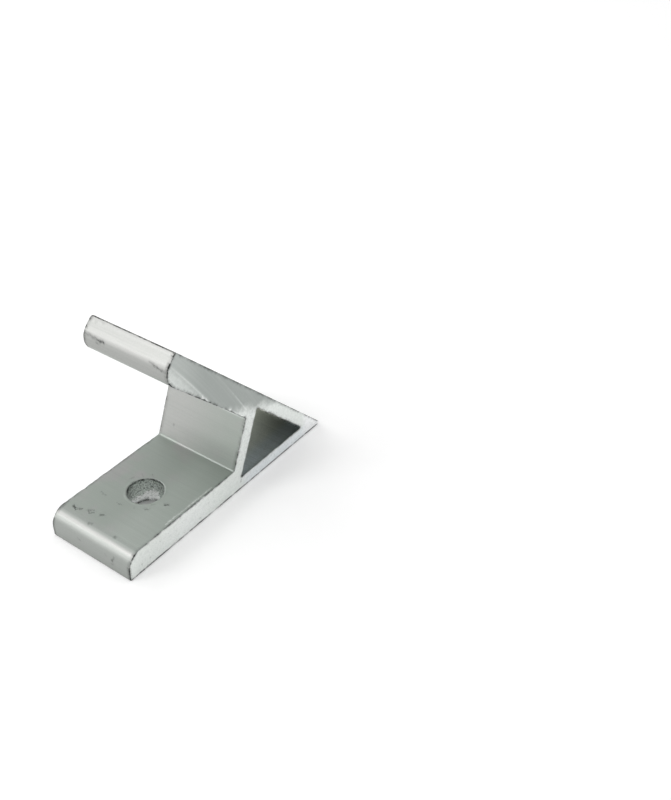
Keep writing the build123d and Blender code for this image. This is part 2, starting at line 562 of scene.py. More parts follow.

# %% [markdown]
# ## Dents and scratches
# Brackets are tumbled and dropped in boxes, so the soft metal picks up small marks. Each one is a
# short groove between two places, with a width, a depth and the dirt that it holds. A few are the
# opposite of a groove: a glint, a painted highlight of bright metal that is also pushed up a little.
# Their depth and their dirt are below zero. Three dark marks on the lower hole's wall are painted
# shade rather than dirt. The marks are listed now, because the flat faces get extra points where a
# mark will be pressed in.

# %% The nicks
NICKS = [  # one end, the other end, half width, depth, and how much dirt it holds
    # The lower leg's inner face, and two glints along its near edge, which are painted highlights.
    ((-9.6, 7.2, 5.0), (-9.9, 6.6, 5.0), 0.20, 0.05, 0.95),
    ((-9.9, 6.6, 5.0), (-10.1, 6.2, 5.0), 0.11, 0.03, 0.8),
    ((-10.1, 6.2, 5.0), (-9.35, 5.4, 5.0), 0.12, 0.04, 0.8),
    ((-9.0, 4.4, 5.0), (-9.4, 3.7, 5.0), 0.17, 0.03, 0.55),
    ((-9.4, 3.7, 5.0), (-8.8, 3.2, 5.0), 0.17, 0.03, 0.5),
    ((-8.9, 4.3, 5.0), (-8.5, 3.6, 5.0), 0.15, 0.03, 0.45),
    ((-8.5, 1.8, 5.0), (-8.4, 1.5, 5.0), 0.24, 0.05, 0.7),
    ((-11.1, 2.1, 5.0), (-10.9, 1.5, 5.0), 0.16, 0.03, 0.6),
    ((-10.9, -3.7, 5.0), (-10.8, -3.9, 5.0), 0.18, 0.05, 0.7),
    ((-4.9, 1.9, 5.0), (-4.8, 0.8, 5.0), 0.10, 0.02, 0.4),
    ((-4.5, 6.0, 5.0), (-4.7, 4.6, 5.0), 0.12, 0.02, 0.3),
    ((-0.5, -5.0, 5.0), (-0.25, -5.5, 5.0), 0.22, 0.04, 0.75),
    ((-3.2, -3.1, 5.0), (-3.0, -3.5, 5.0), 0.17, 0.03, 0.55),
    ((-1.9, -3.3, 5.0), (-1.3, -3.7, 5.0), 0.09, 0.02, 0.4),
    ((2.4, 2.9, 5.0), (2.9, 3.5, 5.0), 0.08, 0.02, 0.35),
    ((3.3, 1.5, 5.0), (3.8, 2.0, 5.0), 0.08, 0.02, 0.3),
    ((0.6, 4.4, 5.0), (1.5, 4.1, 5.0), 0.08, 0.02, 0.3),
    ((-3.9, -1.2, 5.0), (-4.3, -1.5, 5.0), 0.10, 0.02, 0.3),
    ((-4.0, -8.42, 5.0), (0.8, -8.45, 5.0), 0.10, -0.02, -0.8),
    ((0.8, -8.45, 5.0), (7.3, -8.5, 5.0), 0.09, -0.02, -0.9),
    # The lower leg's end.
    ((-13.3, -6.2, 4.1), (-13.3, -5.0, 2.3), 0.15, 0.04, 0.9),
    ((-13.3, -5.6, 1.9), (-13.3, -4.9, 1.5), 0.12, 0.03, 0.4),
    ((-13.3, -3.4, 2.9), (-13.3, -3.7, 2.6), 0.13, 0.03, 0.45),
    ((-13.2, -0.8, 4.3), (-13.3, -1.3, 3.6), 0.12, 0.03, 0.45),
    ((-13.3, 2.8, 2.8), (-13.3, 2.3, 2.5), 0.13, 0.03, 0.4),
    ((-13.3, 6.0, 4.0), (-13.3, 5.6, 3.7), 0.12, 0.03, 0.4),
    # The upper leg's end.
    ((-0.30, 7.4, 34.0), (-0.35, 6.0, 33.85), 0.15, 0.05, 0.6),
    ((-0.35, 6.0, 33.85), (-0.36, 5.2, 33.8), 0.17, 0.05, 0.8),
    ((-0.36, 5.4, 33.8), (-0.33, 4.6, 33.9), 0.24, 0.06, 0.9),
    ((-0.27, 7.0, 34.06), (-0.33, 5.4, 33.9), 0.14, 0.04, 0.5),
    ((-0.27, 8.8, 34.05), (-0.25, 7.4, 34.1), 0.20, 0.03, 0.45),
    ((-0.48, 6.0, 33.35), (-0.49, 5.7, 33.3), 0.20, 0.04, 0.5),
    ((-0.20, -5.2, 34.2), (-0.26, -6.0, 34.07), 0.13, 0.04, 0.6),
    ((-0.26, -6.0, 34.07), (-0.32, -6.9, 33.94), 0.16, 0.05, 0.75),
    ((-0.32, -6.9, 33.94), (-0.40, -7.9, 33.7), 0.14, 0.04, 0.55),
    ((-0.37, -8.0, 33.8), (-0.40, -8.8, 33.7), 0.20, 0.04, 0.45),
    ((1.3, 8.2, 35.95), (1.2, 7.2, 35.8), 0.10, 0.03, 0.5),
    ((1.4, 6.2, 36.0), (1.35, 5.9, 36.0), 0.14, 0.03, 0.5),
    # The wall of the lower hole: painted shade under the burr at its top, and at its bottom.
    ((-2.5, 2.0, 4.45), (-1.2, 2.97, 4.55), 0.34, 0.02, 1.1),
    ((-1.2, 2.97, 4.7), (0.3, 3.19, 4.8), 0.26, 0.02, 1.0),
    ((1.6, 2.6, 0.1), (2.1, 2.2, 0.1), 0.30, 0.02, 1.2),
    # Sawn edges, and the foot of the web.
    ((-5.3, 8.86, 5.0), (-5.9, 8.86, 5.0), 0.18, 0.05, 1.1),
    ((0.0, 8.86, 5.0), (0.5, 8.86, 5.0), 0.15, 0.03, 0.8),
    ((1.8, -8.96, 36.35), (1.15, -8.93, 35.75), 0.17, 0.02, 1.15),
    ((1.65, 8.9, 36.25), (1.1, 8.9, 35.7), 0.16, 0.02, 1.0),
    ((-9.0, 8.9, 4.95), (-8.6, 8.9, 4.95), 0.12, 0.03, 0.5),
    ((13.75, 6.1, 7.9), (13.85, 6.1, 7.6), 0.13, 0.02, 0.6),
    # The near sawn face, with four glints, which are painted highlights.
    ((-10.5, -9.0, 1.7), (-10.4, -9.0, 1.6), 0.18, 0.03, 0.4),
    ((-8.7, -9.0, 1.6), (-8.6, -9.0, 1.5), 0.15, 0.03, 0.3),
    ((3.4, -9.0, 1.1), (3.6, -9.0, 1.0), 0.16, 0.03, 0.3),
    ((14.4, -9.0, 1.9), (14.4, -9.0, 1.7), 0.15, 0.04, 0.7),
    ((6.5, -9.0, 25.15), (6.9, -9.0, 24.75), 0.14, -0.01, -0.9),
    ((7.3, -9.0, 24.3), (7.7, -9.0, 23.85), 0.12, -0.01, -0.8),
    ((12.75, -9.0, 18.85), (12.9, -9.0, 18.7), 0.18, -0.01, -1.1),
    ((13.4, -9.0, 18.0), (16.1, -9.0, 15.3), 0.12, -0.01, -0.6),
    # A corner of the upper leg that was knocked off, and the leg's outer face.
    ((1.9, 9.0, 36.3), (1.6, 9.0, 36.3), 0.30, 0.18, 0.5),
    ((12.6, 5.2, 25.6), (11.4, 3.9, 26.8), 0.12, 0.03, 0.45),
    ((11.4, 3.9, 26.8), (11.2, 3.2, 27.0), 0.16, 0.04, 0.6),
    ((20.3, -4.6, 17.9), (19.1, -5.3, 19.1), 0.10, 0.02, 0.4),
    ((26.0, 2.0, 12.2), (25.7, 1.8, 12.5), 0.18, 0.04, 0.55),
    ((6.0, -6.8, 32.2), (5.2, -6.2, 33.0), 0.12, 0.03, 0.5),
    ((31.4, -1.0, 6.8), (29.6, 0.4, 8.6), 0.09, 0.02, 0.35),
    ((17.0, 7.6, 21.2), (16.8, 7.3, 21.4), 0.16, 0.03, 0.5),
    # The underside.
    ((-9.0, 4.0, 0.0), (-7.4, 5.0, 0.0), 0.12, 0.03, 0.5),
    ((6.5, -5.0, 0.0), (9.0, -3.6, 0.0), 0.10, 0.03, 0.45),
    ((14.0, 3.0, 0.0), (14.5, 3.2, 0.0), 0.20, 0.04, 0.55),
    ((24.0, -2.0, 0.0), (21.5, 1.0, 0.0), 0.10, 0.02, 0.4),
    ((30.0, 5.5, 0.0), (30.6, 5.3, 0.0), 0.16, 0.03, 0.5),
    # The far sawn face.
    ((4.0, 9.0, 30.5), (4.8, 9.0, 29.3), 0.10, 0.03, 0.5),
    ((11.0, 9.0, 3.0), (12.5, 9.0, 2.2), 0.10, 0.03, 0.5),
    ((28.0, 9.0, 9.2), (28.2, 9.0, 8.9), 0.16, 0.04, 0.6),
]
print("marks", len(NICKS), "of them glints", sum(nick[-1] < 0 for nick in NICKS))

# %% [markdown]
# ## Mesh a face with a hole in it
# A flat face with a round hole can't be a plain grid. Blender's own Delaunay filler joins any cloud
# of points into well shaped triangles and keeps given edges whole. It gets the face's border, the
# hole's ring, a honeycomb of points between them, closer rings near the hole, and closer points
# round each nick.


# %% Clouds of points
CHUNK = 500  # points measured at one time, so that the table of distances stays small
NOT_ZERO = 1e-12  # stands in for the rise of a level side, which no ray crosses


def honeycomb(low, high, step):
    """Evenly spaced points in staggered rows over a rectangle."""
    rows = np.arange(low[1], high[1], step * math.sqrt(3) / 2)
    points = [
        (across + (step / 2 if k % 2 else 0), up)
        for k, up in enumerate(rows)
        for across in np.arange(low[0], high[0], step)
    ]
    return np.array(points)


def inside(polygon, points):
    """Which points lie inside a closed polygon, by counting the sides that a ray crosses."""
    crossed = np.zeros(len(points), bool)
    for (x0, y0), (x1, y1) in zip(polygon, np.roll(polygon, -1, axis=0)):
        spans = (y0 > points[:, 1]) != (y1 > points[:, 1])
        slope = (x1 - x0) / ((y1 - y0) or NOT_ZERO)
        crossed ^= spans & (points[:, 0] < x0 + slope * (points[:, 1] - y0))
    return crossed


def clear_of(points, others, gap):
    """The points that keep a gap from all the others."""
    kept = []
    for k in range(0, len(points), CHUNK):
        part = points[k : k + CHUNK]
        away = np.linalg.norm(part[:, None] - others[None], axis=2)
        kept.append(part[(away > gap).all(axis=1)])
    return np.vstack(kept) if kept else points


# %% Fill between a border and a hole
INSIDE_BORDER = 1  # asks the filler for the triangles inside the border only
FILL_TOLERANCE = 1e-7


def filled(border, hole, cloud):
    """Triangles between a border and a hole, through a cloud of points: (points, triangles)."""
    points = np.vstack([border, hole, cloud])
    loops = [(0, len(border)), (len(border), len(border) + len(hole))]
    edges = [(k, k + 1 if k + 1 < last else first) for first, last in loops for k in range(first, last)]
    corners = [Vector(point) for point in points]
    _, _, faces, origins, _, _ = delaunay_2d_cdt(corners, edges, [], INSIDE_BORDER, FILL_TOLERANCE)
    triangles = np.array([[origins[corner][0] for corner in face] for face in faces])
    keep = ~inside(hole, points[triangles].mean(axis=1))
    return points, triangles[keep]


# %% Closer points round the marks
NICK_STEP = 0.55  # the closer points' spacing, in a mark's half widths
NICK_REACH = 2.2  # how far they reach, in half widths
NICK_LINE_POINTS = 9


def nick_cloud(to_flat, is_on_face):
    """Closer points round the marks that lie on a face."""
    clouds = []
    for nick in NICKS:
        start, end, half_width = (np.array(value, float) for value in nick[:3])
        if not (is_on_face(start) and is_on_face(end)):
            continue
        reach, ends = NICK_REACH * half_width, np.array([to_flat(start), to_flat(end)])
        points = honeycomb(ends.min(0) - reach, ends.max(0) + reach, NICK_STEP * half_width)
        line = np.linspace(ends[0], ends[1], NICK_LINE_POINTS)
        near = np.linalg.norm(points[:, None] - line[None], axis=2).min(axis=1) < reach
        clouds.append(points[near])
    return clouds


# %% The four drilled faces
FACE_STEP = {"lower_inside": 0.3, "upper_inside": 0.36, "lower_outside": 0.42, "upper_outside": 0.42}
RING_GAPS = [0.08, 0.16, 0.25, 0.35, 0.46, 0.6]  # how far the closer rings stand off the hole's own
BORDER_GAP = 0.6  # how far the honeycomb keeps from the border, in its own steps
RING_GAP = 0.5  # and from the last ring
NICK_GAP = 0.4  # and from the closer points round a mark
END_INSET = 0.4  # how far in from the face's ends it starts and stops


def drilled_cloud(name, flat_border, second_rows, middle, radius, nicks):
    """The honeycomb of a drilled face, clear of everything else on it, and the marks' own points."""
    step = FACE_STEP[name]
    length = flat_border[:, 0].max()
    inset = step * END_INSET
    cloud = honeycomb((inset, -HALF_WIDTH), (length - inset, HALF_WIDTH), step)
    cloud = clear_of(cloud, second_rows, step * BORDER_GAP)
    off_ring = np.linalg.norm(cloud - middle, axis=1) - radius
    cloud = cloud[inside(flat_border, cloud) & (off_ring > RING_GAPS[-1] + step * RING_GAP)]
    cloud = clear_of(cloud, flat_border, step * BORDER_GAP)
    if nicks:
        nicks = np.vstack(nicks)
        nicks = nicks[np.linalg.norm(nicks - middle, axis=1) > radius + RING_GAPS[-1]]
        cloud = np.vstack([clear_of(cloud, nicks, step * NICK_GAP), nicks])
    return cloud


def add_drilled_face(stretch, ring):
    """Adds the skin of a flat stretch with a hole through it."""
    rails, start = stretch["rails"], stretch["points"][0]
    length = float(np.linalg.norm(stretch["points"][-1] - start))
    heading = unit(stretch["points"][-1] - start)
    outward = stretch["outward"][0]
    skin = rails[:, SKIN_FROM : ROWS - SKIN_FROM]
    border = np.vstack([skin[:, 0], skin[-1, 1:], skin[-2::-1, -1], skin[0, -2:0:-1]])
    next_rows = np.vstack([skin[1:-1, 1], skin[1:-1, -2]])

    def to_flat(place):
        """How far along the stretch and across the width a place is."""
        return np.array([(in_section(place) - start) @ heading, place[1]])

    def is_on_face(place):
        """Whether a place lies on this face."""
        off_face = abs((in_section(place) - start) @ outward)
        return off_face < SKIN_DEEP and 0 < to_flat(place)[0] < length

    flat_border, flat_ring, second_rows = (
        np.array([to_flat(place) for place in loop]) for loop in (border, ring, next_rows)
    )
    middle = flat_ring.mean(axis=0)
    radius = np.linalg.norm(flat_ring - middle, axis=1).mean()
    rings = [middle + (flat_ring - middle) * (radius + gap) / radius for gap in RING_GAPS]
    nicks = nick_cloud(to_flat, is_on_face)
    cloud = drilled_cloud(stretch["name"], flat_border, second_rows, middle, radius, nicks)
    points, triangles = filled(flat_border, flat_ring, np.vstack([second_rows, *rings, cloud]))
    known = np.vstack([border, ring, next_rows])
    free = points[len(known):]
    flat = start + free[:, :1] * heading
    places = np.vstack([known, np.column_stack([flat[:, 0], free[:, 1], flat[:, 1]])])
    patches.add(places, triangles, "satin_skin")


stretch_named = {stretch["name"]: stretch for stretch in letter_a + hollow}
mouths = (lower_outer_ring, lower_inner_ring, upper_outer_ring, upper_inner_ring)
for name, mouth in zip(DRILLED, mouths):
    add_drilled_face(stretch_named[name], mouth)
print("drilled faces added, faces so far", len(patches.faces))

# %% [markdown]
# ## Close the two sawn faces
# The saw leaves one big flat face on each side, shaped like the letter A with its hollow. The same
# filler meshes it, with a honeycomb between the outline and the hollow. The far face looks the other
# way, so its triangles are turned over.

# %% The sawn faces
SAWN_STEP = 0.3


def sawn_loop(stretches, row):
    """The closed loop that an outline leaves on a sawn face."""
    return np.vstack([stretch["rails"][:-1, row] for stretch in stretches])


def add_sawn_face(side):
    """Fills the sawn face on the near side, -1, or the far side, 1."""
    row = 0 if side < 0 else -1
    border, hole = sawn_loop(letter_a, row), sawn_loop(hollow, row)
    flat_border, flat_hole = border[:, [0, 2]], hole[:, [0, 2]]
    cloud = honeycomb(flat_border.min(0), flat_border.max(0), SAWN_STEP)
    cloud = cloud[inside(flat_border, cloud) & ~inside(flat_hole, cloud)]
    cloud = clear_of(cloud, np.vstack([flat_border, flat_hole]), SAWN_STEP * BORDER_GAP)
    nicks = nick_cloud(in_section, lambda place: abs(place[1] - side * HALF_WIDTH) < SKIN_DEEP)
    if nicks:
        cloud = np.vstack([clear_of(cloud, np.vstack(nicks), SAWN_STEP * NICK_GAP), *nicks])
    points, triangles = filled(flat_border, flat_hole, cloud)
    across = np.concatenate([border[:, 1], hole[:, 1], np.full(len(cloud), side * HALF_WIDTH)])
    places = np.column_stack([points[:, 0], across, points[:, 1]])
    patches.add(places, triangles if side < 0 else triangles[:, ::-1], "sawn_face")


add_sawn_face(-1)
add_sawn_face(1)
print("sawn faces added, faces so far", len(patches.faces))

# %% [markdown]
# ## Weld the patches into one skin
# A sawn slice is a single piece of metal, so the patches become a single closed mesh. Merging the
# points that coincide is enough, because neighbours were given the same points. A closed mesh has
# exactly two faces at every edge, and the cell counts the edges that don't. The stain goes on the
# mesh as one number per point, and the merge keeps it.

# %% Weld
WELD = 0.001  # points nearer than this are the same point


def welded(bag):
    """One mesh of all patches, with coinciding points merged, and the stronger stain kept."""
    points, stains = np.vstack(bag.points), np.concatenate(bag.stains)
    _, same = np.unique(points.round(3), axis=0, return_inverse=True)
    strongest = np.zeros(len(points))
    np.maximum.at(strongest, same.ravel(), stains)
    mesh = bpy.data.meshes.new("sawn_slice")
    mesh.from_pydata((points * MM).tolist(), [], bag.faces)
    mesh.polygons.foreach_set("material_index", bag.finishes)
    # The stain holds oxide and dirt, painted shade along some edges and on a hole wall, and painted
    # glints below zero.
    mesh.attributes.new("stain", "FLOAT", "POINT").data.foreach_set("value", strongest[same.ravel()])
    weld = bmesh.new()
    weld.from_mesh(mesh)
    bmesh.ops.remove_doubles(weld, verts=weld.verts, dist=WELD * MM)
    open_edges = sum(not edge.is_manifold for edge in weld.edges)
    weld.to_mesh(mesh)
    weld.free()
    print("points", len(mesh.vertices), "faces", len(mesh.polygons), "open edges", open_edges)
    return mesh


slice_mesh = welded(patches)

# %% [markdown]
# ## Press in the wear
# Now every point is pushed a little in or out along its own normal: nicks go in, the ring round a
# hole stands out, the saw leaves shallow steps in arcs of its blade, and the drill leaves torn grain.
# All of it is a few hundredths of a millimetre, but aluminium is shiny enough to show it. Each mark
# also changes the stain. Where a dirty mark crosses a dark edge, the stronger of the two counts. A
# glint clears the stain and takes it below zero, and the finishes turn that into a painted highlight.

# %% What each point belongs to
places = np.zeros(len(slice_mesh.vertices) * 3)
slice_mesh.vertices.foreach_get("co", places)
places = places.reshape(-1, 3) / MM
normals = np.zeros(len(places) * 3)
slice_mesh.vertices.foreach_get("normal", normals)
normals = normals.reshape(-1, 3)
stain = np.zeros(len(places))
slice_mesh.attributes["stain"].data.foreach_get("value", stain)


def points_with(finish):
    """A true or false for each point: whether it only touches faces with that finish."""
    touches = np.zeros(len(places), bool)
    others = np.zeros(len(places), bool)
    wanted = FINISHES.index(finish)
    for face in slice_mesh.polygons:
        marks = touches if face.material_index == wanted else others
        marks[list(face.vertices)] = True
    return touches & ~others


on_skin, on_saw, on_wall = (points_with(finish) for finish in FINISHES[:3])
print("points on skin", on_skin.sum(), "saw", on_saw.sum(), "hole walls", on_wall.sum())

# %% Rings round the mouths
MOUTH_RING = (0.28, 0.12, 0.035)  # how far off the hole it stands, its half width and its height
RING_ZONE = 1.0  # there is nothing of the ring beyond this


def noise_at(spots, size, seed):
    """Smooth noise at many places."""
    return np.array([wobble(spot, size, seed) for spot in spots])


def mouth_ring(middle, inward):
    """The ring of metal that the drill pushed up round a hole's inner mouth."""
    off, half_width, height = MOUTH_RING
    flat = places[:, [0, 2]] - middle
    depth = flat @ inward
    along = flat - depth[:, None] * inward
    radius = np.hypot(np.linalg.norm(along, axis=1), places[:, 1])
    near = (np.abs(depth - LEG_THICKNESS) < SKIN_DEEP) & (radius < HOLE_RADIUS + RING_ZONE)
    raised = np.zeros(len(places))
    spots = places[near]
    uneven = 1 + 0.8 * noise_at(spots, 1.2, 23) + 0.5 * noise_at(spots, 0.3, 29)
    raised[near] = height * uneven * np.exp(-(((radius[near] - HOLE_RADIUS - off) / half_width) ** 2))
    return raised


lift = mouth_ring(lower_hole, lower_inward) + mouth_ring(upper_hole, upper_inward)
print("tallest ring", lift.max().round(3), "mm")

# %% Saw steps
BLADES = {-1: np.array([-160.0, -81.0]), 1: np.array([150.0, -120.0])}  # where each cut's blade turned
BLADE_STEPS = {  # how far from that place each step is, and how high
    -1: [(197.6, 0.008), (201.9, -0.007), (216.0, 0.006)],
    1: [(189.0, 0.008), (206.0, -0.008)],
}
STEP_WIDTH = 0.25
SAW_DEPTH = 0.012  # how deep the saw's face lies on the average
SAW_WAVE = 0.004
SAW_PITCH = 1.7  # from one wave of the blade to the next


def saw_steps(side):
    """The shallow steps and waves that the blade leaves on one sawn face."""
    cut = on_saw & (places[:, 1] * side > 0)
    reach = np.linalg.norm(places[cut][:, [0, 2]] - BLADES[side], axis=1)
    waves = np.sin(reach * 2 * math.pi / SAW_PITCH)
    depth = SAW_DEPTH + SAW_WAVE * waves + SAW_WAVE * noise_at(places[cut], 1.5, 31)
    for at, height in BLADE_STEPS[side]:
        depth += height / 2 * (1 + np.tanh((reach - at) / STEP_WIDTH))
    raised = np.zeros(len(places))
    raised[cut] = -depth
    return raised


lift += saw_steps(-1) + saw_steps(1)
print("deepest saw step", lift.min().round(3), "mm")

# %% Waviness and torn grain
WAVE = 0.004
GRAIN = 0.035

lift[on_skin] += WAVE * noise_at(places[on_skin] * (1, 0.25, 1), 2.4, 37)
torn_grain = noise_at(places[on_wall], 0.42, 41) + 0.6 * noise_at(places[on_wall], 0.2, 43)
lift[on_wall] += GRAIN * torn_grain
print("moves from", lift.min().round(3), "to", lift.max().round(3), "mm")

# %% Press in the marks
RAGGED = 0.20  # how far a mark's outline wanders
BANK = 0.25  # how high the metal is pushed up beside a groove, as a share of its depth
BANK_AT = 1.7  # how far off the groove that is, in half widths
BANK_WIDTH = 0.5
MARK_TONE_WIDTH = 1.1


def off_nick(spots, start, end, half_width):
    """The distance of each place from a mark's line, in half widths."""
    along = end - start
    share = np.clip((spots - start) @ along / (along @ along), 0, 1)[:, None]
    return np.linalg.norm(spots - start - share * along, axis=1) / half_width


def ragged(spots):
    """The places, each shifted a little by noise, so that what is drawn on them is ragged."""
    shifts = [
        noise_at(spots, 0.38, 61 + axis) + 0.5 * noise_at(spots, 0.17, 71 + axis) for axis in range(3)
    ]
    return spots + RAGGED * np.column_stack(shifts)


for first, last, half_width, depth, dirt_and_painted_light in NICKS:
    start, end = np.array(first, float), np.array(last, float)
    span = math.dist(start, end) / 2 + NICK_REACH * half_width + 2 * RAGGED
    near = np.linalg.norm(places - (start + end) / 2, axis=1) < span
    away = off_nick(ragged(places[near]), start, end, half_width)
    bank = BANK * np.exp(-(((away - BANK_AT) / BANK_WIDTH) ** 2))
    lift[near] += depth * (bank - np.exp(-away * away))
    share = np.exp(-((away / MARK_TONE_WIDTH) ** 2))
    # Above zero it darkens, also where it stands for painted shade; below zero it paints a glint.
    patchy = dirt_and_painted_light * share * (0.85 + 0.5 * noise_at(places[near], 0.25, 81))
    if dirt_and_painted_light > 0:
        stain[near] = np.maximum(stain[near], patchy)
    else:
        stain[near] = stain[near] * (1 - share) + patchy
print("moves from", lift.min().round(3), "to", lift.max().round(3), "mm")
print("stains from", stain.min().round(2), "to", stain.max().round(2))

# %% Move the points, inside the CAD part's own box
places = np.clip(places + normals * lift[:, None], box_low, box_high)
slice_mesh.vertices.foreach_set("co", (places * MM).ravel())
slice_mesh.attributes["stain"].data.foreach_set("value", stain)
slice_mesh.polygons.foreach_set("use_smooth", [True] * len(slice_mesh.polygons))
slice_mesh.update()
bracket = bpy.data.objects.new("bracket_metal", slice_mesh)
bpy.context.scene.collection.objects.link(bracket)
flat_normals = bracket.modifiers.new("flat faces stay flat", "WEIGHTED_NORMAL")
flat_normals.keep_sharp = True
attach(bracket, "root")
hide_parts(NODE)
print("bracket is", (places.max(0) - places.min(0)).round(3), "mm")

# %% [markdown]
# ## Wire up a finish
# A material is a tree of nodes, and a tree written out link by link is long and hard to read. This
# small kit adds a node in one line and links it in the same line, so that a finish reads like a
# recipe. The table's paint needs no more than that.


# %% A small node kit
class Recipe:
    """A material under construction: its nodes, and short ways to add more."""

    def __init__(self, name):
        self.material = bpy.data.materials.new(name)
        self.material.use_nodes = True
        self.tree = self.material.node_tree
        self.shader = self.tree.nodes["Principled BSDF"]

    def add(self, kind, settings=None, **inputs):
        """Adds a node with plain settings, and values or links for its named inputs."""
        made = self.tree.nodes.new(kind)
        for key, value in (settings or {}).items():
            setattr(made, key, value)
        for key, value in inputs.items():
            self.put(made.inputs[key.replace("_", " ")], value)
        return made

    def put(self, socket, value):
        """Links an output to a socket, or writes a plain value in it."""
        if isinstance(value, bpy.types.NodeSocket):
            self.tree.links.new(value, socket)
        else:
            socket.default_value = value

    def math(self, operation, *values):
        """One step of arithmetic."""
        made = self.add("ShaderNodeMath", {"operation": operation})
        for socket, value in zip(made.inputs, values):
            self.put(socket, value)
        return made.outputs[0]

    def times(self, first, second):
        """A product."""
        return self.math("MULTIPLY", first, second)

    def plus(self, first, second):
        """A sum."""
        return self.math("ADD", first, second)

    def vector(self, operation, first, second, output="Vector"):
        """One step of arithmetic on places."""
        made = self.add("ShaderNodeVectorMath", {"operation": operation})
        self.put(made.inputs[0], first)
        self.put(made.inputs[1], second)
        return made.outputs[output]

    def rise(self, value, low, high, to_low=0.0, to_high=1.0, curve="SMOOTHSTEP"):
        """A smooth rise between two values, or a fall if the second is the smaller."""
        made = self.add("ShaderNodeMapRange", {"interpolation_type": curve}, Value=value)
        ends = {"From Min": low, "From Max": high, "To Min": to_low, "To Max": to_high}
        for name, number in ends.items():
            made.inputs[name].default_value = number
        return made.outputs["Result"]

    def hump(self, value, middle, half_width):
        """A line: 1 where the value is at the middle, and 0 beyond the half width."""
        off = self.math("ABSOLUTE", self.math("SUBTRACT", value, middle))
        return self.rise(off, 0.0, half_width, 1.0, 0.0)

    def mix(self, share, first, second):
        """A blend of two colours."""
        made = self.add("ShaderNodeMix", {"data_type": "RGBA"})
        for index, value in ((0, share), (6, first), (7, second)):
            self.put(made.inputs[index], value)
        return made.outputs[2]

    def blend(self, share, first, second):
        """A blend of two places."""
        made = self.add("ShaderNodeMix", {"data_type": "VECTOR"})
        for index, value in ((0, share), (4, first), (5, second)):
            self.put(made.inputs[index], value)
        return made.outputs[1]

    def choice(self, share, first, second):
        """A blend of two plain numbers."""
        made = self.add("ShaderNodeMix", {"data_type": "FLOAT"})
        for index, value in ((0, share), (2, first), (3, second)):
            self.put(made.inputs[index], value)
        return made.outputs[0]


# %% [markdown]
# All four finishes of the bracket are metal, and all four carry the stain. So they share what knows
# about both, and it also hands each one its place on the bracket in millimetres, and noise that is
# tied to that place.

# %% What the four metals share
# Dark oxide and dirt, and the same dark for the painted shade in the stain.
OXIDE_AND_PAINTED_SHADE = (0.035, 0.038, 0.036, 1)
# Bright metal for the painted glints, where the stain is below zero.
PAINTED_GLINT = (0.86, 0.87, 0.86, 1)


class Finish(Recipe):
    """A metal finish of the bracket under construction."""

    def __init__(self, name):
        super().__init__(name)
        self.shader.inputs["Metallic"].default_value = 1.0
        in_metres = self.add("ShaderNodeTexCoord").outputs["Object"]
        self.place = self.vector("MULTIPLY", in_metres, (1 / MM,) * 3)
        self.x, self.y, self.z = self.add("ShaderNodeSeparateXYZ", Vector=self.place).outputs
        # The stain: oxide and dirt, painted shade, and painted glints below zero.
        self.stain = self.add("ShaderNodeAttribute", {"attribute_name": "stain"}).outputs["Fac"]

    def noise(self, per_mm, detail=3.0, stretch=(1, 1, 1), rough=0.55, shift=0.0):
        """Noise around 0.5, with so many lumps in each millimetre."""
        spot = self.vector("MULTIPLY_ADD", self.place, stretch)
        self.put(spot.node.inputs[2], (shift, shift, shift))
        made = self.add("ShaderNodeTexNoise", Vector=spot, Scale=per_mm, Detail=detail, Roughness=rough)
        return made.outputs["Fac"]

    def stained_and_painted(self, colour):
        """The colour with dark stains and painted shade, and painted glints of bright metal, on it."""
        speckled = self.rise(self.noise(5.5, 3), 0.3, 0.62, 0.65, 1.15)
        dark = self.math("MINIMUM", self.times(self.math("MAXIMUM", self.stain, 0.0), speckled), 1.0)
        bright = self.math("MAXIMUM", self.times(self.stain, -1.0), 0.0)
        return self.mix(bright, self.mix(dark, colour, OXIDE_AND_PAINTED_SHADE), PAINTED_GLINT)

    def finish(self, colour, roughness, height, depth_mm):
        """Connects the shader: colour, roughness, and a height map with its depth."""
        self.put(self.shader.inputs["Base Color"], self.stained_and_painted(colour))
        self.put(self.shader.inputs["Roughness"], roughness)
        bump = self.add("ShaderNodeBump", Height=height, Distance=depth_mm * MM)
        self.put(self.shader.inputs["Normal"], bump.outputs["Normal"])
        return self.material


def put_on(material):
    """Gives the bracket its next finish. They come in the order of FINISHES."""
    slice_mesh.materials.append(material)
    print("finish", material.name, "with", len(material.node_tree.nodes), "nodes")


# %% [markdown]
# ## The satin skin
# Extruded aluminium slides through the die and comes out satin grey, with very fine lines along the
# bar. The lines are noise that is squeezed hard across the section and drawn out along y. Two slow
# noises let the grey drift between a greenish and a rosy tone, as the thin oxide on it does.
#
# Light and shade are then painted into the skin place by place. The upper leg's end is painted paler
# and the shoulders of both rounds get painted highlights. The foot of the web, the very end of the
# lower leg and strips beside the highlights get painted shade, and the near side of the lower leg
# gets a faint painted sheen. The inside of the upper leg, the front of the web and the whole hollow
# are painted brighter, as painted light, with painted shade on the hollow's roof at the near mouth.
# Paint masks on an unwrapped image could say so, but the section is so plain that smooth rises over a
# few coordinates do it without any image. Two of them are slanted: one runs away from the sharp
# corner along the bisector, and one runs across the upper leg.

# %% Tones of the skin
SKIN_GREEN = (0.392, 0.432, 0.396, 1)
SKIN_ROSY = (0.422, 0.427, 0.415, 1)
# Dull skin, and the same tone for painted shade.
SKIN_DULL_AND_SHADE = (0.275, 0.297, 0.278, 1)
# Painted light, not wear: the upper leg's end is painted paler.
UPPER_END_PAINTED_LIGHT = (0.455, 0.455, 0.443, 1)  # the rubbed end of the upper leg
# Painted highlight on the shoulders of the two rounds.
ROUND_PAINTED_HIGHLIGHT = (0.495, 0.495, 0.482, 1)  # the shoulders of the two rounds
